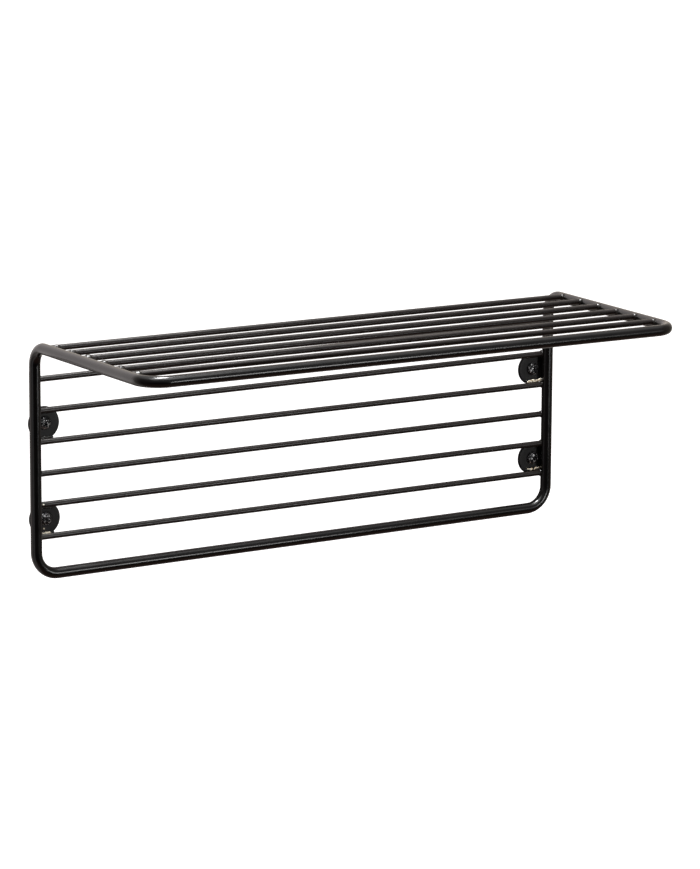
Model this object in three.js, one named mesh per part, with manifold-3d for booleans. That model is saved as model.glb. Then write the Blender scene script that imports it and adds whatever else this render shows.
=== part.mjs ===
// Wall-mounted wire rack: one round bar bent into a closed, L-shaped loop, with thin rods welded
// across it to make a shelf and a back grid, and four round plates that screw to the wall.
//
// Units are millimetres. +X runs along the wall, +Y goes into the wall and +Z is up.
// The origin lies on the wall plane, at the centre of the four fixing screws.

import * as THREE from 'three';
import { mergeVertices } from 'three/addons/utils/BufferGeometryUtils.js';
import Module from 'manifold-3d';

// Frame bar. Lengths run between bar centrelines, and radii are bend centrelines.
const FRAME_WIDTH = 560;
const SHELF_REACH = 206;
const BACK_DROP = 211;
const BAR_DIAMETER = 10.5;
const FRONT_CORNER_RADIUS = 21;
const TOP_BEND_RADIUS = 18;
const BOTTOM_CORNER_RADIUS = 21;

// Rods, six across the shelf and six across the back.
const RODS_PER_SIDE = 6;
const ROD_DIAMETER = 5.5;
const ROD_END_INSET = 3;
const BACK_ROD_SETBACK = 3;
const SHELF_ROD_PITCH = SHELF_REACH / (RODS_PER_SIDE + 1);
const FIRST_BACK_ROD_DROP = 30.4;
const BACK_ROD_PITCH = 29.3;
const BACK_RODS_ABOVE_ORIGIN = 3;

// Round wall plates, between the second and third back rods and between the fifth and sixth.
// Their rows lie PLATE_ROW_PITCHES rod pitches above and below the origin.
const PLATE_ROW_PITCHES = 1.5;
const PLATE_DIAMETER = 30.6;
const PLATE_THICKNESS = 3;
const PLATE_EDGE_BREAK = 0.4;
const PLATE_HOLE_DIAMETER = 6.6;
const PLATE_INSET = 12.5;

// Pan-head wood screws with a cross recess.
const HEAD_DIAMETER = 12;
const HEAD_HEIGHT = 3;
const HEAD_RIM_HEIGHT = 0.9;
const HEAD_SHOULDER_HEIGHT = 2.4;
const HEAD_CROWN_DIAMETER = 7.5;
const SHANK_DIAMETER = 6;
const SHANK_LENGTH = 20;
const SHANK_TIP_LENGTH = 6;
const RECESS_SPAN = 6.4;
const RECESS_WIDTH = 1.5;
const RECESS_DEPTH = 2;

// Room left between pieces that touch on the real rack.
const TOUCH_GAP = 0.3;

// Length of the bar-shaped cutter that shapes a rod's end.
const COPE_LENGTH = 20;

// Facets.
const BAR_SIDES = 16;
const BEND_STEPS = 6;
const COPE_SIDES = 32;
const ROD_SIDES = 12;
const PLATE_SIDES = 36;
const SCREW_SIDES = 24;

// Corners nearer than this count as one when a solid is made for cutting.
const WELD_DISTANCE = 0.0001;

// Places that follow from the sizes above.
const HALF_WIDTH = FRAME_WIDTH / 2;
const BAR_RADIUS = BAR_DIAMETER / 2;
const ROD_RADIUS = ROD_DIAMETER / 2;
const BACK_ROD_Y = -(PLATE_THICKNESS + TOUCH_GAP + ROD_RADIUS);
const BACK_BAR_Y = BACK_ROD_Y - BACK_ROD_SETBACK;
const FRONT_BAR_Y = BACK_BAR_Y - SHELF_REACH;
const SHELF_BAR_Z = FIRST_BACK_ROD_DROP + BACK_RODS_ABOVE_ORIGIN * BACK_ROD_PITCH;
const SHELF_ROD_Z = SHELF_BAR_Z + BAR_RADIUS - ROD_RADIUS;
const BOTTOM_BAR_Z = SHELF_BAR_Z - BACK_DROP;
const FIXING_X = HALF_WIDTH - PLATE_INSET;
const FIXING_Z = PLATE_ROW_PITCHES * BACK_ROD_PITCH;

const Y_AXIS = new THREE.Vector3(0, 1, 0);
const QUARTER_TURN = Math.PI / 2;
const HALF_TURN = Math.PI;

const wasm = await Module();
wasm.setup();

// Materials.

function coat(color, roughness, metalness) {
  return new THREE.MeshStandardMaterial({ color, roughness, metalness });
}

const barCoat = () => coat(0x2b2a29, 0.42, 0.1);
const rodCoat = () => coat(0x2e2c2b, 0.42, 0.1);
const plateCoat = () => coat(0x3a3839, 0.6, 0.1);
const screwZinc = () => coat(0x4a4a4c, 0.35, 0.8);

// Solids for cutting.

function toSolid(geometry) {
  const bare = geometry.clone();
  bare.deleteAttribute('normal');
  bare.deleteAttribute('uv');
  const merged = mergeVertices(bare, WELD_DISTANCE);
  const triVerts = withoutFlatTriangles(merged.index.array);
  const vertProperties = new Float32Array(merged.attributes.position.array);
  return new wasm.Manifold(new wasm.Mesh({ numProp: 3, vertProperties, triVerts }));
}

function withoutFlatTriangles(index) {
  const kept = [];
  for (let i = 0; i < index.length; i += 3) {
    const [a, b, c] = [index[i], index[i + 1], index[i + 2]];
    if (a !== b && b !== c && c !== a) {
      kept.push(a, b, c);
    }
  }
  return new Uint32Array(kept);
}

function toGeometry(solid) {
  const mesh = solid.getMesh();
  const geometry = new THREE.BufferGeometry();
  geometry.setAttribute('position', new THREE.BufferAttribute(mesh.vertProperties, 3));
  geometry.setIndex(new THREE.BufferAttribute(mesh.triVerts, 1));
  geometry.computeVertexNormals();
  return geometry;
}

// Frame loop. Its stations sit only where the bar starts, follows and leaves a bend.

class StationLoop extends THREE.Curve {
  constructor(stations) {
    super();
    this.stations = stations;
  }

  stationAt(u) {
    const count = this.stations.length;
    return this.stations[Math.round(u * count) % count];
  }

  getPointAt(u, target = new THREE.Vector3()) {
    return target.copy(this.stationAt(u).point);
  }

  getTangentAt(u, target = new THREE.Vector3()) {
    return target.copy(this.stationAt(u).tangent);
  }
}

function bendStations(previous, corner, next) {
  const back = previous.point.clone().sub(corner.point).normalize();
  const onward = next.point.clone().sub(corner.point).normalize();
  const centre = corner.point.clone().addScaledVector(back, corner.radius);
  centre.addScaledVector(onward, corner.radius);
  const stations = [];
  for (let step = 0; step <= BEND_STEPS; step += 1) {
    const angle = (QUARTER_TURN * step) / BEND_STEPS;
    const point = centre.clone();
    point.addScaledVector(onward, -corner.radius * Math.cos(angle));
    point.addScaledVector(back, -corner.radius * Math.sin(angle));
    const tangent = new THREE.Vector3();
    tangent.addScaledVector(back, -Math.cos(angle));
    tangent.addScaledVector(onward, Math.sin(angle));
    stations.push({ point, tangent });
  }
  return stations;
}

function frameCorners() {
  const corner = (x, y, z, radius) => ({ point: new THREE.Vector3(x, y, z), radius });
  return [
    corner(-HALF_WIDTH, BACK_BAR_Y, BOTTOM_BAR_Z, BOTTOM_CORNER_RADIUS),
    corner(-HALF_WIDTH, BACK_BAR_Y, SHELF_BAR_Z, TOP_BEND_RADIUS),
    corner(-HALF_WIDTH, FRONT_BAR_Y, SHELF_BAR_Z, FRONT_CORNER_RADIUS),
    corner(HALF_WIDTH, FRONT_BAR_Y, SHELF_BAR_Z, FRONT_CORNER_RADIUS),
    corner(HALF_WIDTH, BACK_BAR_Y, SHELF_BAR_Z, TOP_BEND_RADIUS),
    corner(HALF_WIDTH, BACK_BAR_Y, BOTTOM_BAR_Z, BOTTOM_CORNER_RADIUS),
  ];
}

function makeFrame() {
  const corners = frameCorners();
  const count = corners.length;
  const stations = corners.flatMap((corner, i) => {
    return bendStations(corners[(i + count - 1) % count], corner, corners[(i + 1) % count]);
  });
  const loop = new StationLoop(stations);
  const geometry = new THREE.TubeGeometry(loop, stations.length, BAR_RADIUS, BAR_SIDES, true);
  const mesh = new THREE.Mesh(geometry, barCoat());
  mesh.name = 'frame_loop';
  return mesh;
}

// Rods. Each end is shaped to the side bar that it is welded to.

function makeRod(name, y, z, barY, barZ, barDirection) {
  const rod = new THREE.CylinderGeometry(
    ROD_RADIUS, ROD_RADIUS, FRAME_WIDTH - 2 * ROD_END_INSET, ROD_SIDES);
  rod.rotateZ(QUARTER_TURN);
  rod.translate(0, y, z);
  let solid = toSolid(rod);
  for (const side of [-1, 1]) {
    const bar = new THREE.CylinderGeometry(
      BAR_RADIUS + TOUCH_GAP, BAR_RADIUS + TOUCH_GAP, COPE_LENGTH, COPE_SIDES);
    bar.applyQuaternion(new THREE.Quaternion().setFromUnitVectors(Y_AXIS, barDirection));
    bar.translate(side * HALF_WIDTH, barY, barZ);
    solid = solid.subtract(toSolid(bar));
  }
  const mesh = new THREE.Mesh(toGeometry(solid), rodCoat());
  mesh.name = name;
  return mesh;
}

function makeShelfRods() {
  const rods = new THREE.Group();
  for (let i = 1; i <= RODS_PER_SIDE; i += 1) {
    const y = BACK_BAR_Y - i * SHELF_ROD_PITCH;
    rods.add(makeRod(`shelf_rod_${i}`, y, SHELF_ROD_Z, y, SHELF_BAR_Z, Y_AXIS));
  }
  return rods;
}

function makeBackRods() {
  const rods = new THREE.Group();
  const up = new THREE.Vector3(0, 0, 1);
  for (let i = 1; i <= RODS_PER_SIDE; i += 1) {
    const z = SHELF_BAR_Z - FIRST_BACK_ROD_DROP - (i - 1) * BACK_ROD_PITCH;
    rods.add(makeRod(`back_rod_${i}`, BACK_ROD_Y, z, BACK_BAR_Y, z, up));
  }
  return rods;
}

// Turned pieces. A profile lists [radius, height], and height 0 is the wall plane.
// Half a turn about X points the height out of the wall.

function turned(profile, sides) {
  const points = profile.map(([radius, height]) => new THREE.Vector2(radius, height));
  const geometry = new THREE.LatheGeometry(points, sides);
  geometry.rotateX(HALF_TURN);
  return geometry;
}

function makePlate(name) {
  const hole = PLATE_HOLE_DIAMETER / 2;
  const edge = PLATE_DIAMETER / 2;
  const geometry = turned([
    [hole, 0],
    [edge - PLATE_EDGE_BREAK, 0],
    [edge, PLATE_EDGE_BREAK],
    [edge, PLATE_THICKNESS - PLATE_EDGE_BREAK],
    [edge - PLATE_EDGE_BREAK, PLATE_THICKNESS],
    [hole, PLATE_THICKNESS],
    [hole, 0],
  ], PLATE_SIDES);
  const mesh = new THREE.Mesh(geometry, plateCoat());
  mesh.name = name;
  return mesh;
}

function makeScrewBody() {
  const seat = PLATE_THICKNESS + TOUCH_GAP;
  const head = HEAD_DIAMETER / 2;
  const crown = HEAD_CROWN_DIAMETER / 2;
  const shank = SHANK_DIAMETER / 2;
  const tip = seat - SHANK_LENGTH;
  return turned([
    [0, tip],
    [shank, tip + SHANK_TIP_LENGTH],
    [shank, seat],
    [head, seat],
    [head, seat + HEAD_RIM_HEIGHT],
    [(head + crown) / 2, seat + HEAD_SHOULDER_HEIGHT],
    [crown, seat + HEAD_HEIGHT],
    [0, seat + HEAD_HEIGHT],
  ], SCREW_SIDES);
}

function makeScrew(name, recessTurn) {
  let solid = toSolid(makeScrewBody());
  const top = PLATE_THICKNESS + TOUCH_GAP + HEAD_HEIGHT;
  for (const turn of [recessTurn, recessTurn + QUARTER_TURN]) {
    const blade = new THREE.BoxGeometry(RECESS_SPAN, 2 * RECESS_DEPTH, RECESS_WIDTH);
    blade.translate(0, -top, 0);
    blade.rotateY(turn);
    solid = solid.subtract(toSolid(blade));
  }
  const mesh = new THREE.Mesh(toGeometry(solid), screwZinc());
  mesh.name = name;
  return mesh;
}

// Recess turns differ, as they do on screws driven home by hand.
const FIXINGS = [
  { place: 'upper_left', x: -FIXING_X, z: FIXING_Z, recessTurn: 0.72 },
  { place: 'lower_left', x: -FIXING_X, z: -FIXING_Z, recessTurn: 0.85 },
  { place: 'upper_right', x: FIXING_X, z: FIXING_Z, recessTurn: 0.25 },
  { place: 'lower_right', x: FIXING_X, z: -FIXING_Z, recessTurn: 0.6 },
];

function makeFixings() {
  const fixings = new THREE.Group();
  for (const { place, x, z, recessTurn } of FIXINGS) {
    const fixing = new THREE.Group();
    fixing.add(makePlate(`wall_plate_${place}`));
    fixing.add(makeScrew(`screw_${place}`, recessTurn));
    fixing.position.set(x, 0, z);
    fixings.add(fixing);
  }
  return fixings;
}

const rack = new THREE.Group();
rack.add(makeFrame());
rack.add(makeShelfRods());
rack.add(makeBackRods());
rack.add(makeFixings());

export default rack;
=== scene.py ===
"""Looks for the wall-mounted wire rack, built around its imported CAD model.

Lengths are in metres. +X runs along the wall, +Y goes into the wall and +Z is up.
"""

import math
import random

import bmesh
import bpy
from mathutils import Matrix, Vector, noise


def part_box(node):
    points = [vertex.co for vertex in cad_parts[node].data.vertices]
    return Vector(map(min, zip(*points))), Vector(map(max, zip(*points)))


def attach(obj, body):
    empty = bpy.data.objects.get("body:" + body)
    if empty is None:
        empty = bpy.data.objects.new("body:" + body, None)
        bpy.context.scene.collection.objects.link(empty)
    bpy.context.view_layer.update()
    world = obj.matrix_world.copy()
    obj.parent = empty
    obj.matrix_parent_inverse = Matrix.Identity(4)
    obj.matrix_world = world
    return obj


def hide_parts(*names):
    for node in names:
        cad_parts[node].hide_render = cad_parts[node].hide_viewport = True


MM = 0.001
TAU = 2 * math.pi

# Camera.
CAMERA_PLACE = Vector((-2.0131, -3.2779, 0.8008))
CAMERA_YAW = math.radians(32.314)
CAMERA_PITCH = math.radians(11.668)
CAMERA_ROLL = math.radians(0.305)
CAMERA_LENS = 173.72

# Frame bar.
BAR_RADIUS = 5.25 * MM
FRONT_CORNER_RADIUS = 21 * MM
TOP_BEND_RADIUS = 18 * MM
BOTTOM_CORNER_RADIUS = 21 * MM
BAR_SIDES = 40
BEND_STEPS = 16
STRAIGHT_STEP = 18 * MM
BEND_FLATTENING = 0.05
# The rack was bent by hand, and the shelf's right side came out a little low.
RIGHT_BACK_SAG = 1.7 * MM
RIGHT_FRONT_SAG = 3.9 * MM

# Rods.
SHELF_RODS = 6
ROD_RADIUS = 2.75 * MM
ROD_SIDES = 28
ROD_STEPS = 40
ROD_CHAMFER = 0.3 * MM
ROD_END_BURIAL = 1.8 * MM
# How far above or below the bar's axis a rod's end still meets its flank, at most.
BAR_CLIMB = 0.86 * BAR_RADIUS
ROD_BOW = 0.12 * MM
# How far the left and right ends of each back rod were welded below their places, from the
# top rod down.
BACK_ROD_DROPS = (
    (0.9 * MM, 0.1 * MM),
    (0.6 * MM, 0.5 * MM),
    (0.1 * MM, 1.5 * MM),
    (0.1 * MM, 1.5 * MM),
    (-0.5 * MM, 1.2 * MM),
    (-0.1 * MM, 1.0 * MM),
)

# The weld collars at the rods' ends: how far each starts from the bar's axis, its length, how
# far it swells beyond the rod, and how far it sinks against the bar.
SHELF_LEFT_COLLAR = {"near": 3.6 * MM, "length": 6.0 * MM, "swell": 0.95 * MM, "sink": 0.5 * MM}
SHELF_RIGHT_COLLAR = {"near": 3.4 * MM, "length": 3.4 * MM, "swell": 0.8 * MM, "sink": 0.4 * MM}
BACK_COLLAR = {"near": 3.2 * MM, "length": 2.8 * MM, "swell": 0.7 * MM, "sink": 0.0}
COLLAR_BURIAL = 0.25 * MM
COLLAR_LUMPINESS = 0.45
COLLAR_STEPS = 16
COLLAR_SIDES = 32

# Plates.
PLATE_HOLE_RADIUS = 3.3 * MM
PLATE_SIDES = 96

# The seams between plates and rods.
SEAM_LENGTH = 18 * MM
SEAM_RADIUS = 1.3 * MM
SEAM_GAP = 0.25 * MM
SEAM_STEPS = 30
SEAM_SIDES = 14

# Screws.
HEAD_HEIGHT = 3 * MM
HEAD_RIM = 1.1 * MM
HEAD_BREAK = 0.25 * MM
HEAD_SIDES = 64
THREAD_STEPS = 28
THREAD_PITCH = 2.6 * MM
THREAD_CORE = 2.0 * MM
THREAD_CREST = 3.0 * MM
TIP_LENGTH = 6 * MM
PLAIN_SHANK = 3 * MM
RECESS_SPAN = 6.8 * MM
RECESS_WIDTH = 1.7 * MM
RECESS_DEPTH = 2.2 * MM
RECESS_TAPER = 0.5
SCREW_TURNS = {
    "upper_left": 0.72,
    "lower_left": 0.85,
    "upper_right": 0.25,
    "lower_right": 0.60,
}

# How far each plate, with its screw, was welded from its place, along X and Z.
PLATE_SHIFTS = {
    "upper_left": Vector((0.0, 0.0, 1.6 * MM)),
    "lower_left": Vector((0.0, 0.0, 1.3 * MM)),
    "upper_right": Vector((-0.6 * MM, 0.0, -0.6 * MM)),
    "lower_right": Vector((0.5 * MM, 0.0, -1.1 * MM)),
}

# Where bare weld shows, and where one bright lump is a painted highlight: at which plate and
# seam, from and to as shares of the seam from its outer end, how many lumps, their spread, their
# size, and how far they stand out of the wall and above the seam.
FLECKS = (
    # Painted highlight: this bright lump on back rod 5 near the left upright stands in for a glint.
    ("lower_left", "upper", 0.20, 0.28, 3, 0.3 * MM, 0.60 * MM, 5.2 * MM, 4.2 * MM),
    ("lower_left", "lower", 0.10, 0.75, 14, 0.8 * MM, 0.80 * MM, 1.8 * MM, -0.1 * MM),
    ("lower_left", "lower", 0.34, 0.40, 2, 0.4 * MM, 0.55 * MM, 0.9 * MM, 4.2 * MM),
    ("upper_right", "lower", 0.0, 0.92, 26, 0.8 * MM, 0.95 * MM, 2.4 * MM, -0.3 * MM),
    ("lower_right", "lower", 0.08, 0.85, 9, 0.8 * MM, 0.85 * MM, 1.0 * MM, 0.5 * MM),
)

# Powder coat.
CLOUD_SCALE = 60.0
PATCH_SCALE = 45.0
PATCH_SPREAD = 0.02
PEEL_DEPTH = 0.05 * MM

X_AXIS = Vector((1, 0, 0))
Y_AXIS = Vector((0, 1, 0))
Z_AXIS = Vector((0, 0, 1))
PLACES = ("upper_left", "lower_left", "upper_right", "lower_right")


# ---------------------------------------------------------------- node helpers


def new_material(name):
    material = bpy.data.materials.new(name)
    material.use_nodes = True
    shader = material.node_tree.nodes["Principled BSDF"]
    return material, material.node_tree, shader


def add_node(tree, kind, **settings):
    node = tree.nodes.new(kind)
    for key, value in settings.items():
        setattr(node, key, value)
    return node


def noise_factor(tree, scale, detail=3.0, roughness=0.55):
    """A noise value over the object's own coordinates, with scale in bumps per metre."""
    place = add_node(tree, "ShaderNodeTexCoord")
    texture = add_node(tree, "ShaderNodeTexNoise")
    texture.inputs["Scale"].default_value = scale
    texture.inputs["Detail"].default_value = detail
    texture.inputs["Roughness"].default_value = roughness
    tree.links.new(place.outputs["Object"], texture.inputs["Vector"])
    return texture.outputs["Fac"]


def remap(tree, value, low, high, to_low, to_high):
    node = add_node(tree, "ShaderNodeMapRange", interpolation_type="SMOOTHSTEP")
    node.inputs["From Min"].default_value = low
    node.inputs["From Max"].default_value = high
    node.inputs["To Min"].default_value = to_low
    node.inputs["To Max"].default_value = to_high
    tree.links.new(value, node.inputs["Value"])
    return node.outputs["Result"]


def mix_colour(tree, factor, first, second):
    """Mixes two colours. Each is an RGB tuple or a colour output."""
    node = add_node(tree, "ShaderNodeMix", data_type="RGBA")
    tree.links.new(factor, node.inputs["Factor"])
    for socket, colour in ((node.inputs[6], first), (node.inputs[7], second)):
        if isinstance(colour, tuple):
            socket.default_value = (*colour, 1.0)
        else:
            tree.links.new(colour, socket)
    return node.outputs[2]


def add_bump(tree, shader, height, strength, distance):
    bump = add_node(tree, "ShaderNodeBump")
    bump.inputs["Strength"].default_value = strength
    bump.inputs["Distance"].default_value = distance
    tree.links.new(height, bump.inputs["Height"])
    tree.links.new(bump.outputs["Normal"], shader.inputs["Normal"])


# ---------------------------------------------------------------- materials


def powder_coat(name, dark, light, roughness, specular, peel_scale, peel_strength):
    """Black powder coat: faint cloudiness, uneven gloss and a fine orange peel."""
    material, tree, shader = new_material(name)
    shader.inputs["Specular IOR Level"].default_value = specular
    cloud = noise_factor(tree, CLOUD_SCALE)
    tone = mix_colour(tree, remap(tree, cloud, 0.35, 0.65, 0.0, 1.0), dark, light)
    tree.links.new(tone, shader.inputs["Base Color"])
    patches = noise_factor(tree, PATCH_SCALE)
    gloss = remap(tree, patches, 0.3, 0.7, roughness - PATCH_SPREAD, roughness + PATCH_SPREAD)
    tree.links.new(gloss, shader.inputs["Roughness"])
    peel = noise_factor(tree, peel_scale, detail=2.0)
    add_bump(tree, shader, peel, peel_strength, PEEL_DEPTH)
    return material


def weld_coat():
    """Thick glossy coat over a weld, dulled in patches."""
    material, tree, shader = new_material("weld_coat")
    cloud = noise_factor(tree, 300.0)
    tone = mix_colour(
        tree, remap(tree, cloud, 0.35, 0.65, 0.0, 1.0), (0.010, 0.009, 0.008), (0.024, 0.022, 0.020)
    )
    tree.links.new(tone, shader.inputs["Base Color"])
    gloss = remap(tree, noise_factor(tree, 420.0), 0.35, 0.65, 0.16, 0.30)
    tree.links.new(gloss, shader.inputs["Roughness"])
    add_bump(tree, shader, noise_factor(tree, 700.0), 0.25, 0.1 * MM)
    return material


def bare_weld_and_painted_glint():
    """Cream-gold weld metal that the coat never covered, also used for one painted highlight."""
    material, tree, shader = new_material("bare_weld_and_painted_glint")
    stain = noise_factor(tree, 500.0, detail=4.0)
    tone = mix_colour(
        tree, remap(tree, stain, 0.36, 0.56, 0.0, 1.0), (0.60, 0.46, 0.28), (1.0, 0.94, 0.80)
    )
    tree.links.new(tone, shader.inputs["Base Color"])
    shader.inputs["Metallic"].default_value = 0.6
    shader.inputs["Roughness"].default_value = 0.48
    add_bump(tree, shader, noise_factor(tree, 1500.0), 0.4, 0.1 * MM)
    return material


def black_zinc():
    """Dark plated steel, worn through to bright specks."""
    material, tree, shader = new_material("black_zinc")
    wear = remap(tree, noise_factor(tree, 800.0, detail=2.0), 0.56, 0.63, 0.0, 1.0)
    tone = mix_colour(tree, wear, (0.026, 0.026, 0.027), (0.80, 0.80, 0.80))
    tree.links.new(tone, shader.inputs["Base Color"])
    shader.inputs["Metallic"].default_value = 0.8
    gloss = remap(tree, noise_factor(tree, 400.0), 0.3, 0.7, 0.30, 0.42)
    tree.links.new(gloss, shader.inputs["Roughness"])
    add_bump(tree, shader, noise_factor(tree, 1100.0), 0.5, 0.2 * MM)
    return material


def make_materials():
    return {
        "frame": powder_coat(
            "frame_powder_coat", (0.0032, 0.0029, 0.0028), (0.0045, 0.0039, 0.0036),
            roughness=0.20, specular=0.5, peel_scale=900.0, peel_strength=0.008),
        "rod": powder_coat(
            "rod_powder_coat", (0.0090, 0.0068, 0.0060), (0.0120, 0.0094, 0.0084),
            roughness=0.30, specular=0.5, peel_scale=900.0, peel_strength=0.010),
        "plate": powder_coat(
            "plate_powder_coat", (0.0045, 0.0042, 0.0043), (0.0080, 0.0072, 0.0072),
            roughness=0.47, specular=0.33, peel_scale=1500.0, peel_strength=0.6),
        "weld": weld_coat(),
        "fleck": bare_weld_and_painted_glint(),
        "screw": black_zinc(),
    }


# ---------------------------------------------------------------- mesh helpers


def make_piece(name, vertices, faces, material, sharp_angle=math.radians(40)):
    """A smooth-shaded mesh that rides on the rack, with its sharp edges kept."""
    mesh = bpy.data.meshes.new(name)
    mesh.from_pydata([tuple(v) for v in vertices], [], faces)
    mesh.materials.append(material)
    shape = bmesh.new()
    shape.from_mesh(mesh)
    bmesh.ops.recalc_face_normals(shape, faces=shape.faces)
    for face in shape.faces:
        face.smooth = True
    for edge in shape.edges:
        edge.smooth = len(edge.link_faces) == 2 and edge.calc_face_angle() < sharp_angle
    shape.to_mesh(mesh)
    shape.free()
    piece = bpy.data.objects.new(name, mesh)
    bpy.context.scene.collection.objects.link(piece)
    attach(piece, "root")
    return piece


def loft(rings, closed=False):
    """Joins rings of equal length. An open loft gets a flat cap at each end."""
    sides = len(rings[0])
    vertices = [point for ring in rings for point in ring]
    spans = len(rings) if closed else len(rings) - 1
    faces = []
    for i in range(spans):
        here = i * sides
        there = ((i + 1) % len(rings)) * sides
        for j in range(sides):
            k = (j + 1) % sides
            faces.append((here + j, here + k, there + k, there + j))
    if not closed:
        last = (len(rings) - 1) * sides
        faces.append(tuple(range(sides - 1, -1, -1)))
        faces.append(tuple(range(last, last + sides)))
    return vertices, faces


def lathe(profile, sides):
    """Turns [radius, height] points about the Y axis, with height 0 at the origin and
    height pointing to -Y. A profile that starts and ends on the axis gives a solid, and
    one that ends where it starts gives a ring."""
    vertices = []
    rows = []
    for radius, height in profile:
        if radius == 0:
            rows.append([len(vertices)])
            vertices.append(Vector((0, -height, 0)))
            continue
        rows.append(list(range(len(vertices), len(vertices) + sides)))
        for j in range(sides):
            angle = TAU * j / sides
            vertices.append(Vector((radius * math.cos(angle), -height, radius * math.sin(angle))))
    faces = []
    for here, there in zip(rows, rows[1:]):
        for j in range(sides):
            k = (j + 1) % sides
            corners = [here[j % len(here)], here[k % len(here)],
                       there[k % len(there)], there[j % len(there)]]
            faces.append(tuple(dict.fromkeys(corners)))
    return vertices, faces


def moved(vertices, place):
    return [Vector(v) + place for v in vertices]


# ---------------------------------------------------------------- frame bar


def bar_lines():
    """Where the bar's centrelines run, from the CAD frame's box."""
    low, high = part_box("frame_loop")
    inset = Vector((BAR_RADIUS, BAR_RADIUS, BAR_RADIUS))
    return low + inset, high - inset


def bend_stations(before, corner, after, radius):
    """Points round one bend, each with its direction, the way to the bend's centre, and how
    far into the bend it lies, from 0 at the ends to 1 in the middle."""
    back = (before - corner).normalized()
    onward = (after - corner).normalized()
    centre = corner + (back + onward) * radius
    stations = []
    for step in range(BEND_STEPS + 1):
        angle = 0.5 * math.pi * step / BEND_STEPS
        inward = onward * math.cos(angle) + back * math.sin(angle)
        along = onward * math.sin(angle) - back * math.cos(angle)
        depth = math.sin(2 * angle)
        stations.append((centre - inward * radius, along, inward, depth))
    return stations


def straight_stations(start, end):
    """Points between two bends, without the ends."""
    gap = end[0] - start[0]
    count = max(1, round(gap.length / STRAIGHT_STEP))
    return [
        (start[0] + gap * (i / count), start[1], start[2], 0.0) for i in range(1, count)
    ]


def sag(x, y):
    """How far the shelf hangs below level at a place."""
    low, high = bar_lines()
    across = (x - low.x) / (high.x - low.x)
    out = (high.y - y) / (high.y - low.y)
    return across * (RIGHT_BACK_SAG + out * (RIGHT_FRONT_SAG - RIGHT_BACK_SAG))


def frame_stations():
    low, high = bar_lines()
    corners = [
        (Vector((low.x, high.y, low.z)), BOTTOM_CORNER_RADIUS),
        (Vector((low.x, high.y, high.z)), TOP_BEND_RADIUS),
        (Vector((low.x, low.y, high.z)), FRONT_CORNER_RADIUS),
        (Vector((high.x, low.y, high.z - RIGHT_FRONT_SAG)), FRONT_CORNER_RADIUS),
        (Vector((high.x, high.y, high.z - RIGHT_BACK_SAG)), TOP_BEND_RADIUS),
        (Vector((high.x, high.y, low.z)), BOTTOM_CORNER_RADIUS),
    ]
    count = len(corners)
    bends = []
    for i, (corner, radius) in enumerate(corners):
        before = corners[i - 1][0]
        after = corners[(i + 1) % count][0]
        bends.append(bend_stations(before, corner, after, radius))
    stations = []
    for i, bend in enumerate(bends):
        stations += bend
        stations += straight_stations(bend[-1], bends[(i + 1) % count][0])
    return stations


def make_frame(material):
    """One bar bent into a closed loop, a little flattened where it is bent."""
    stations = frame_stations()
    sides = [Y_AXIS]
    for before, after in zip(stations, stations[1:] + stations[:1]):
        sides.append(before[1].rotation_difference(after[1]) @ sides[-1])
    ahead = stations[0][1]
    mismatch = math.atan2(ahead.dot(sides[-1].cross(sides[0])), sides[-1].dot(sides[0]))
    rings = []
    for i, (point, along, inward, depth) in enumerate(stations):
        across = along.cross(sides[i])
        twist = mismatch * i / len(stations)
        ring = []
        for j in range(BAR_SIDES):
            angle = TAU * j / BAR_SIDES + twist
            out = sides[i] * math.cos(angle) + across * math.sin(angle)
            flattening = BEND_FLATTENING * depth * out.dot(inward)
            ring.append(point + (out - inward * flattening) * BAR_RADIUS)
        rings.append(ring)
    vertices, faces = loft(rings, closed=True)
    piece = make_piece("frame_bar", vertices, faces, material)
    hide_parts("frame_loop")


# ---------------------------------------------------------------- rods


def rod_line(node):
    """A rod's centre and radius, from its CAD node."""
    low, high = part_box(node)
    return (low + high) / 2, (high.z - low.z) / 2


def make_rod(node, offset, left_drop, right_drop, material, seed):
    """A straight rod with softened ends that sink into the bar's flank. offset is how far
    its axis lies from the bar's, square to the rod, and the drops are how far its ends hang
    below its place."""
    draw = random.Random(seed)
    centre, radius = rod_line(node)
    low, high = bar_lines()
    height = min(offset + radius, BAR_CLIMB)
    reach = high.x - math.sqrt(BAR_RADIUS ** 2 - height ** 2) + ROD_END_BURIAL
    bow_y = draw.uniform(-ROD_BOW, ROD_BOW)
    bow_z = draw.uniform(-ROD_BOW, ROD_BOW)
    spots = [(-reach, radius - ROD_CHAMFER), (-reach + ROD_CHAMFER, radius)]
    spots += [(-reach + 2 * reach * i / ROD_STEPS, radius) for i in range(1, ROD_STEPS)]
    spots += [(reach - ROD_CHAMFER, radius), (reach, radius - ROD_CHAMFER)]
    rings = []
    for x, size in spots:
        lift = math.cos(0.5 * math.pi * x / reach)
        share = (x - low.x) / (high.x - low.x)
        drop = left_drop + share * (right_drop - left_drop)
        middle = Vector((x, centre.y + bow_y * lift, centre.z + bow_z * lift - drop))
        ring = []
        for j in range(ROD_SIDES):
            angle = TAU * j / ROD_SIDES
            ring.append(middle + Vector((0, math.cos(angle), math.sin(angle))) * size)
        rings.append(ring)
    vertices, faces = loft(rings)
    piece = make_piece(node + "_steel", vertices, faces, material)
    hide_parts(node)


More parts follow.
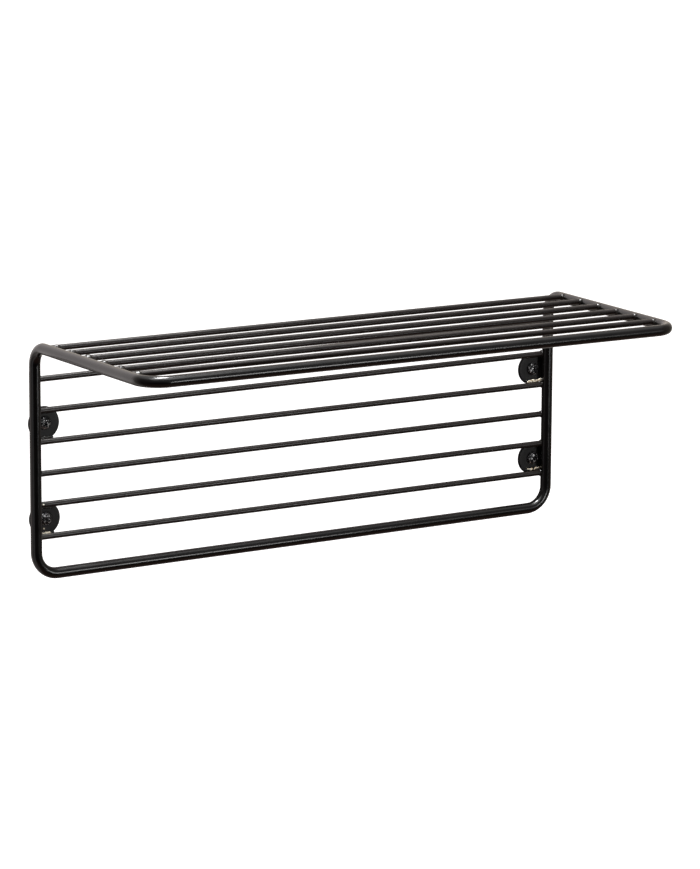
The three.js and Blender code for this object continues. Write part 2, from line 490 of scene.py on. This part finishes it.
def make_collar(name, centre, side, material, seed, near, length, swell, sink):
    """A weld run round a rod's end: a smooth swelling that starts near metres from the bar's
    axis and is length metres long. centre is the rod's axis above the bar's, side is -1 at
    the left end and 1 at the right, and sink moves the weld down against the bar."""
    draw = random.Random(seed)
    phase = Vector((draw.uniform(0, 50), draw.uniform(0, 50), draw.uniform(0, 50)))
    rings = []
    for i in range(COLLAR_STEPS + 1):
        share = i / COLLAR_STEPS
        bulge = math.sin(math.pi * share ** 0.8) ** 0.7 if 0 < share < 1 else 0.0
        x = centre.x - side * (near + length * share)
        ring = []
        for j in range(COLLAR_SIDES):
            angle = TAU * j / COLLAR_SIDES
            out = Vector((0, math.cos(angle), math.sin(angle)))
            lump = noise.noise(phase + out * 0.9 + X_AXIS * share * 1.2)
            growth = (swell + COLLAR_BURIAL) * bulge * (1 + COLLAR_LUMPINESS * lump)
            size = ROD_RADIUS - COLLAR_BURIAL + growth
            ring.append(Vector((x, centre.y, centre.z - sink * bulge)) + out * size)
        rings.append(ring)
    vertices, faces = loft(rings)
    make_piece(name, vertices, faces, material)


def make_shelf_rods(materials):
    low, high = bar_lines()
    for i in range(1, SHELF_RODS + 1):
        node = f"shelf_rod_{i}"
        centre, _ = rod_line(node)
        drop = sag(high.x, centre.y)
        make_rod(node, centre.z - high.z, 0.0, drop, materials["rod"], i)
        left = Vector((low.x, centre.y, centre.z))
        make_collar(f"weld_{node}_left", left, -1, materials["weld"], 100 * i,
                    **SHELF_LEFT_COLLAR)
        right = Vector((high.x, centre.y, centre.z - drop))
        make_collar(f"weld_{node}_right", right, 1, materials["weld"], 100 * i + 1,
                    **SHELF_RIGHT_COLLAR)


def make_back_rods(materials):
    _, high = bar_lines()
    for i, (left_drop, right_drop) in enumerate(BACK_ROD_DROPS, 1):
        node = f"back_rod_{i}"
        centre, _ = rod_line(node)
        make_rod(node, centre.y - high.y, left_drop, right_drop, materials["rod"], 20 + i)
        for side, word, drop in ((-1, "left", left_drop), (1, "right", right_drop)):
            spot = Vector((side * high.x, centre.y, centre.z - drop))
            make_collar(f"weld_{node}_{word}", spot, side, materials["weld"],
                        1000 + 100 * i + side, **BACK_COLLAR)


# ---------------------------------------------------------------- wall plates


def plate_profile(edge, hole, thickness):
    """The rim is rounded where the punch went in, and nearly square where it came out."""
    soft = 0.55 * MM
    crisp = 0.2 * MM
    profile = [(hole, 0), (edge - crisp, 0), (edge, crisp)]
    for step in range(5):
        angle = 0.5 * math.pi * step / 4
        profile.append((edge - soft + soft * math.cos(angle),
                        thickness - soft + soft * math.sin(angle)))
    profile += [(0.75 * edge, thickness), (0.5 * edge, thickness)]
    profile += [(hole + crisp, thickness), (hole, thickness - crisp), (hole, 0)]
    return profile


def make_plate(place, material):
    node = f"wall_plate_{place}"
    low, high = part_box(node)
    centre = (low + high) / 2
    edge = (high.x - low.x) / 2
    thickness = high.y - low.y
    vertices, faces = lathe(plate_profile(edge, PLATE_HOLE_RADIUS, thickness), PLATE_SIDES)
    origin = Vector((centre.x, high.y, centre.z)) + PLATE_SHIFTS[place]
    piece = make_piece(f"plate_{place}", moved(vertices, origin), faces, material,
                       math.radians(50))
    weld_doubles(piece)
    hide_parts(node)


def weld_doubles(piece):
    shape = bmesh.new()
    shape.from_mesh(piece.data)
    bmesh.ops.remove_doubles(shape, verts=shape.verts, dist=1e-7)
    bmesh.ops.recalc_face_normals(shape, faces=shape.faces)
    shape.to_mesh(piece.data)
    shape.free()


def make_seam(name, start, end, up, radius, material, seed):
    """A short fillet weld, lumpy along its length and pinched at its ends."""
    draw = random.Random(seed)
    phase = Vector((draw.uniform(0, 50), draw.uniform(0, 50), draw.uniform(0, 50)))
    out = Vector((0, -1, 0))
    rings = []
    for i in range(SEAM_STEPS + 1):
        share = i / SEAM_STEPS
        pinch = math.sqrt(max(0.02, 1 - (2 * share - 1) ** 6))
        lump = noise.noise(phase + X_AXIS * share * 9)
        size = radius * pinch * (1 + 0.35 * lump)
        middle = start.lerp(end, share)
        ring = []
        for j in range(SEAM_SIDES):
            angle = TAU * j / SEAM_SIDES
            away = up * math.cos(angle) + out * math.sin(angle)
            ripple = 1 + 0.2 * noise.noise(phase + X_AXIS * share * 22 + away * 1.3)
            ring.append(middle + away * size * ripple)
        rings.append(ring)
    vertices, faces = loft(rings)
    make_piece(name, vertices, faces, material, math.radians(60))


def make_flecks(name, start, end, spread, size, count, material, seed):
    """Bare weld metal, or a bright lump as painted highlight: small lumps strung along a seam."""
    draw = random.Random(seed)
    shape = bmesh.new()
    for i in range(count):
        share = (i + draw.uniform(0.1, 0.9)) / count
        middle = start.lerp(end, share)
        middle += Vector((0, draw.uniform(-0.2, 0.2) * spread, draw.uniform(-1, 1) * spread))
        radius = size * draw.uniform(0.6, 1.25)
        stretch = draw.uniform(1.0, 1.9)
        phase = Vector((draw.uniform(0, 50), draw.uniform(0, 50), draw.uniform(0, 50)))
        made = bmesh.ops.create_icosphere(shape, subdivisions=3, radius=1.0)
        for vertex in made["verts"]:
            out = vertex.co.normalized()
            bulge = 1 + 0.35 * noise.noise(phase + out * 1.7)
            out = Vector((out.x * stretch, out.y * 0.7, out.z))
            vertex.co = middle + out * radius * bulge
    mesh = bpy.data.meshes.new(name)
    shape.to_mesh(mesh)
    shape.free()
    for polygon in mesh.polygons:
        polygon.use_smooth = True
    mesh.materials.append(material)
    piece = bpy.data.objects.new(name, mesh)
    bpy.context.scene.collection.objects.link(piece)
    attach(piece, "root")


def make_plate_welds(place, materials, seed):
    """Seams where the plate meets the rods above and below it, in the corner between them."""
    low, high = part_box(f"wall_plate_{place}")
    centre = (low + high) / 2 + PLATE_SHIFTS[place]
    inward = 1 if "left" in place else -1
    rows = (2, 3) if "upper" in place else (5, 6)
    for row, word, up in ((rows[0], "upper", -1), (rows[1], "lower", 1)):
        rod, radius = rod_line(f"back_rod_{row}")
        level = rod.z + up * (radius + SEAM_GAP)
        depth = low.y - 0.5 * MM
        outer = Vector((centre.x - inward * SEAM_LENGTH / 2, depth, level))
        inner = Vector((centre.x + inward * SEAM_LENGTH / 2, depth, level))
        make_seam(f"seam_{place}_{word}", outer, inner, Z_AXIS * up, SEAM_RADIUS,
                  materials["weld"], seed + row)
        for number, fleck in enumerate(FLECKS):
            if fleck[:2] != (place, word):
                continue
            start, end, count, spread, size, proud, lift = fleck[2:]
            shift = Vector((0, -proud, lift))
            make_flecks(f"bare_weld_{place}_{number}", outer.lerp(inner, start) + shift,
                        outer.lerp(inner, end) + shift, spread, size, count,
                        materials["fleck"], seed + 50 + number)


# ---------------------------------------------------------------- screws


def head_profile(radius, seat):
    """A pan head: flat underside, short rim and a low dome, seated at height seat."""
    dome = HEAD_HEIGHT - HEAD_RIM
    profile = [(0, seat), (radius - HEAD_BREAK, seat)]
    profile += [(radius, seat + HEAD_BREAK), (radius, seat + HEAD_RIM)]
    for step in range(1, 11):
        angle = 0.5 * math.pi * step / 10
        profile.append((radius * math.cos(angle) ** 0.75 if step < 10 else 0,
                        seat + HEAD_RIM + dome * math.sin(angle) ** 1.2))
    return profile


def recess_cutter(turn, top):
    """One wing of the cross recess, narrower and shorter at its foot."""
    cutter = bpy.data.meshes.new("cutter")
    corners = []
    for height, scale in ((top + 1 * MM, 1.0), (top - RECESS_DEPTH, RECESS_TAPER)):
        half_span = 0.5 * RECESS_SPAN * scale
        half_width = 0.5 * RECESS_WIDTH * scale
        for x, z in ((-1, -1), (1, -1), (1, 1), (-1, 1)):
            flat = Vector((x * half_span, 0, z * half_width))
            corners.append(Vector((flat.x * math.cos(turn) - flat.z * math.sin(turn), -height,
                                   flat.x * math.sin(turn) + flat.z * math.cos(turn))))
    faces = [(0, 1, 2, 3), (7, 6, 5, 4), (0, 4, 5, 1), (1, 5, 6, 2), (2, 6, 7, 3), (3, 7, 4, 0)]
    cutter.from_pydata([tuple(c) for c in corners], [], faces)
    shape = bmesh.new()
    shape.from_mesh(cutter)
    bmesh.ops.recalc_face_normals(shape, faces=shape.faces)
    shape.to_mesh(cutter)
    shape.free()
    return bpy.data.objects.new("cutter", cutter)


def cut(piece, cutters):
    """Cuts the cutters out of the piece for good, then deletes them."""
    for cutter in cutters:
        bpy.context.scene.collection.objects.link(cutter)
        boolean = piece.modifiers.new("cut", "BOOLEAN")
        boolean.object = cutter
        boolean.operation = "DIFFERENCE"
        boolean.solver = "EXACT"
    bpy.context.view_layer.update()
    finished = bpy.data.meshes.new_from_object(
        piece.evaluated_get(bpy.context.evaluated_depsgraph_get()))
    piece.modifiers.clear()
    piece.data = finished
    for cutter in cutters:
        bpy.data.objects.remove(cutter)


def mark_sharp(piece, angle):
    shape = bmesh.new()
    shape.from_mesh(piece.data)
    for edge in shape.edges:
        edge.smooth = len(edge.link_faces) == 2 and edge.calc_face_angle() < angle
    shape.to_mesh(piece.data)
    shape.free()


def thread_mesh(start, end):
    """A wood thread as one helical strip, from height start under the head to the tip at
    height end. Heights fall towards the wall."""
    profile = ((0.0, 0.0), (0.30, 0.0), (0.46, 1.0), (0.54, 1.0), (0.70, 0.0))
    length = start - end
    total = round(length / THREAD_PITCH * THREAD_STEPS) - THREAD_STEPS
    vertices = []
    for n in range(total + 1):
        angle = TAU * n / THREAD_STEPS
        for shift, crest in profile:
            run = (n / THREAD_STEPS + shift) * THREAD_PITCH
            point = min(1.0, max(0.0, (length - run) / TIP_LENGTH))
            lead = min(1.0, max(0.0, (run - PLAIN_SHANK) / THREAD_PITCH))
            core = THREAD_CORE + (1 - lead) * 0.4 * MM
            radius = core + crest * lead * (THREAD_CREST - core)
            radius *= 0.05 + 0.95 * point ** 0.8
            vertices.append(Vector((radius * math.cos(angle), -(start - run),
                                    radius * math.sin(angle))))
    width = len(profile)
    faces = []
    for n in range(total):
        for j in range(width):
            if j < width - 1:
                faces.append((n * width + j, (n + 1) * width + j,
                              (n + 1) * width + j + 1, n * width + j + 1))
            elif n + 1 + THREAD_STEPS <= total:
                faces.append((n * width + j, (n + 1) * width + j,
                              (n + 1 + THREAD_STEPS) * width, (n + THREAD_STEPS) * width))
    return close_ends(vertices, faces)


def close_ends(vertices, faces):
    """Fills each open rim of a strip with a fan to its middle."""
    edges = {}
    for face in faces:
        for a, b in zip(face, face[1:] + face[:1]):
            edges[frozenset((a, b))] = edges.get(frozenset((a, b)), 0) + 1
    links = {}
    for edge, uses in edges.items():
        if uses == 1:
            a, b = tuple(edge)
            links.setdefault(a, []).append(b)
            links.setdefault(b, []).append(a)
    vertices = list(vertices)
    faces = list(faces)
    while links:
        first = min(links)
        rim = [first]
        while True:
            onward = [v for v in links[rim[-1]] if v not in rim[-2:]]
            if not onward or onward[0] == first:
                break
            rim.append(onward[0])
        middle = sum((vertices[v] for v in rim), Vector()) / len(rim)
        vertices.append(middle)
        for a, b in zip(rim, rim[1:] + rim[:1]):
            faces.append((a, b, len(vertices) - 1))
        for v in rim:
            links.pop(v, None)
    return vertices, faces


def make_screw(place, material):
    node = f"screw_{place}"
    low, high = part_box(node)
    plate_low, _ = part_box(f"wall_plate_{place}")
    centre = (low + high) / 2 + PLATE_SHIFTS[place]
    radius = (high.x - low.x) / 2
    seat = -plate_low.y
    top = seat + HEAD_HEIGHT
    vertices, faces = lathe(head_profile(radius, seat), HEAD_SIDES)
    head = make_piece(f"screw_head_{place}", vertices, faces, material)
    turn = SCREW_TURNS[place]
    cut(head, [recess_cutter(turn, top), recess_cutter(turn + 0.5 * math.pi, top)])
    mark_sharp(head, math.radians(32))
    head.data.transform(Matrix.Translation(Vector((centre.x, 0, centre.z))))
    vertices, faces = thread_mesh(seat + 0.5 * MM, -high.y)
    shank = make_piece(f"screw_shank_{place}", moved(vertices, Vector((centre.x, 0, centre.z))),
                       faces, material)
    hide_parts(node)
    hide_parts(node)


# ---------------------------------------------------------------- stage


def direction_factor(tree, axis, low, high):
    """0 to 1 as a direction's part along an axis, such as "Z" or "-X", goes from low to high."""
    place = add_node(tree, "ShaderNodeTexCoord")
    split = add_node(tree, "ShaderNodeSeparateXYZ")
    tree.links.new(place.outputs["Generated"], split.inputs["Vector"])
    value = split.outputs[axis.strip("-")]
    if axis.startswith("-"):
        return remap(tree, value, -high, -low, 1.0, 0.0)
    return remap(tree, value, low, high, 0.0, 1.0)


def make_world():
    """White behind the rack, a dimmer room in front of it, and plain white to look at."""
    world = bpy.data.worlds.new("studio")
    bpy.context.scene.world = world
    world.use_nodes = True
    tree = world.node_tree
    room = mix_colour(tree, direction_factor(tree, "Z", -0.10, 0.30),
                      (0.012, 0.011, 0.011), (0.18, 0.18, 0.19))
    for axis, low, high, colour in (
        ("-Z", 0.42, 0.68, (0.14, 0.082, 0.065)),  # brown floor
        ("-X", 0.60, 1.00, (0.08, 0.065, 0.070)),  # left side
        ("X", 0.55, 0.95, (0.18, 0.16, 0.135)),  # right side
        ("Y", 0.05, 0.55, (0.46, 0.42, 0.38)),  # dimmer edge of the wall
        ("Z", 0.62, 0.95, (1.10, 1.08, 1.08)),  # ceiling
    ):
        room = mix_colour(tree, direction_factor(tree, axis, low, high), room, colour)
    lit_wall = mix_colour(tree, direction_factor(tree, "-X", -0.45, -0.05),
                          (0.97, 0.87, 0.78), (1.38, 1.28, 1.27))
    wall = mix_colour(tree, direction_factor(tree, "Z", -0.60, -0.38), room, lit_wall)
    room = mix_colour(tree, direction_factor(tree, "Y", 0.50, 0.84), room, wall)
    sight = add_node(tree, "ShaderNodeLightPath")
    seen = mix_colour(tree, sight.outputs["Is Camera Ray"], room, (1.0, 1.0, 1.0))
    tree.links.new(seen, tree.nodes["Background"].inputs["Color"])


def make_softbox(name, place, width, height, power):
    """A rectangular light that faces the rack and that the camera can't see."""
    lamp = bpy.data.lights.new(name, "AREA")
    lamp.shape = "RECTANGLE"
    lamp.size = width
    lamp.size_y = height
    lamp.energy = power
    light = bpy.data.objects.new(name, lamp)
    light.location = place
    light.rotation_mode = "QUATERNION"
    light.rotation_quaternion = place.to_track_quat("Z", "Y")
    light.visible_camera = False
    bpy.context.scene.collection.objects.link(light)


def make_floor():
    """A pale floor, as far under the rack as it hangs above one, too bright to show shadow."""
    material, _, shader = new_material("pale_floor")
    shader.inputs["Base Color"].default_value = (0.9, 0.9, 0.9, 1.0)
    shader.inputs["Roughness"].default_value = 0.9
    shader.inputs["Emission Color"].default_value = (1.0, 1.0, 1.0, 1.0)
    shader.inputs["Emission Strength"].default_value = 0.75
    half = 60.0
    drop = -1.6
    mesh = bpy.data.meshes.new("floor")
    corners = [(-half, -half, drop), (half, -half, drop), (half, half, drop), (-half, half, drop)]
    mesh.from_pydata(corners, [], [(0, 1, 2, 3)])
    mesh.materials.append(material)
    floor = bpy.data.objects.new("floor", mesh)
    floor.visible_glossy = False
    floor.visible_diffuse = False
    bpy.context.scene.collection.objects.link(floor)


def make_wall_patch(name, corners, glow):
    """A flat patch of shaded wall that shows only as a reflection."""
    material, _, shader = new_material(name)
    shader.inputs["Base Color"].default_value = (0.0, 0.0, 0.0, 1.0)
    shader.inputs["Roughness"].default_value = 1.0
    shader.inputs["Emission Color"].default_value = (1.0, 0.90, 0.88, 1.0)
    shader.inputs["Emission Strength"].default_value = glow
    mesh = bpy.data.meshes.new(name)
    mesh.from_pydata([tuple(corner) for corner in corners], [], [tuple(range(len(corners)))])
    mesh.materials.append(material)
    patch = bpy.data.objects.new(name, mesh)
    patch.visible_camera = False
    patch.visible_diffuse = False
    patch.visible_shadow = False
    bpy.context.scene.collection.objects.link(patch)


def make_wall_shadow():
    """The wall close to the rack, which is dimmer than the rest: along the uprights and the
    bottom bar, behind the back rods, and black right at the plates' rims."""
    low, high = bar_lines()
    margin = 50 * MM
    behind = 0.5 * MM
    foot = low.z - margin
    top = high.z - 25 * MM
    for word, glow, left, right, bottom, upper in (
        ("left", 0.60, low.x - margin, low.x, foot, top),
        ("inner_left", 0.30, low.x, low.x + margin, foot, top),
        ("inner_right", 0.08, high.x - margin, high.x, foot, top),
        ("right", 0.30, high.x, high.x + margin, foot, top),
        ("below", 0.34, low.x + margin, high.x - margin, foot, low.z + margin),
        ("grid", 0.22, low.x + margin, high.x - margin, low.z + margin, top),
    ):
        corners = [(left, behind, bottom), (right, behind, bottom),
                   (right, behind, upper), (left, behind, upper)]
        make_wall_patch(f"wall_shadow_{word}", corners, glow)
    sides = 32
    for place in PLACES:
        low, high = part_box(f"wall_plate_{place}")
        centre = (low + high) / 2 + PLATE_SHIFTS[place]
        reach = (high.x - low.x) / 2 + 3.5 * MM
        corners = []
        for j in range(sides):
            angle = TAU * j / sides
            corners.append((centre.x + reach * math.cos(angle), 0.5 * behind,
                            centre.z + reach * math.sin(angle)))
        make_wall_patch(f"contact_shadow_{place}", corners, 0.0)


def make_camera():
    """The view from the left and a little above, with a long lens."""
    forward = Vector((math.sin(CAMERA_YAW) * math.cos(CAMERA_PITCH),
                      math.cos(CAMERA_YAW) * math.cos(CAMERA_PITCH),
                      -math.sin(CAMERA_PITCH)))
    level = Vector((math.cos(CAMERA_YAW), -math.sin(CAMERA_YAW), 0))
    upright = level.cross(forward)
    right = level * math.cos(CAMERA_ROLL) + upright * math.sin(CAMERA_ROLL)
    up = upright * math.cos(CAMERA_ROLL) - level * math.sin(CAMERA_ROLL)
    lens = bpy.data.cameras.new("camera")
    lens.lens = CAMERA_LENS
    lens.sensor_width = 36.0
    lens.clip_end = 100.0
    camera = bpy.data.objects.new("camera", lens)
    camera.location = CAMERA_PLACE
    camera.rotation_mode = "QUATERNION"
    camera.rotation_quaternion = Matrix((right, up, -forward)).transposed().to_quaternion()
    bpy.context.scene.collection.objects.link(camera)
    bpy.context.scene.camera = camera


# ---------------------------------------------------------------- scene

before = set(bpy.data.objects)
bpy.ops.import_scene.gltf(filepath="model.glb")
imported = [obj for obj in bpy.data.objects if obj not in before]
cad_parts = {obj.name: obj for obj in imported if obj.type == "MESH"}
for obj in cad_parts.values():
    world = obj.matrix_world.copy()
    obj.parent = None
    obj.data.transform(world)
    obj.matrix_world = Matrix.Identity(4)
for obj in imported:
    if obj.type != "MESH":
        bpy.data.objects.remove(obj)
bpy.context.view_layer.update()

bpy.context.scene.view_settings.view_transform = "Standard"
make_camera()
make_world()
make_softbox("front_softbox", Vector((0.88, -2.015, -0.10)), 0.60, 0.30, 6.4)
make_softbox("side_softbox", Vector((1.354, -1.733, 0.10)), 0.90, 0.45, 0.9)
make_softbox("left_panel", Vector((-0.40, -0.04, -0.09)), 0.07, 0.45, 0.045)
make_softbox("ceiling_panel", Vector((-0.20, -0.75, 1.35)), 1.7, 0.8, 10.0)
make_softbox("top_softbox", Vector((0.10, -0.25, 2.5)), 1.3, 0.6, 130.0)
make_floor()
make_wall_shadow()

materials = make_materials()
make_frame(materials["frame"])
make_shelf_rods(materials)
make_back_rods(materials)
for number, place in enumerate(PLACES):
    make_plate(place, materials["plate"])
    make_plate_welds(place, materials, 300 + 10 * number)
    make_screw(place, materials["screw"])
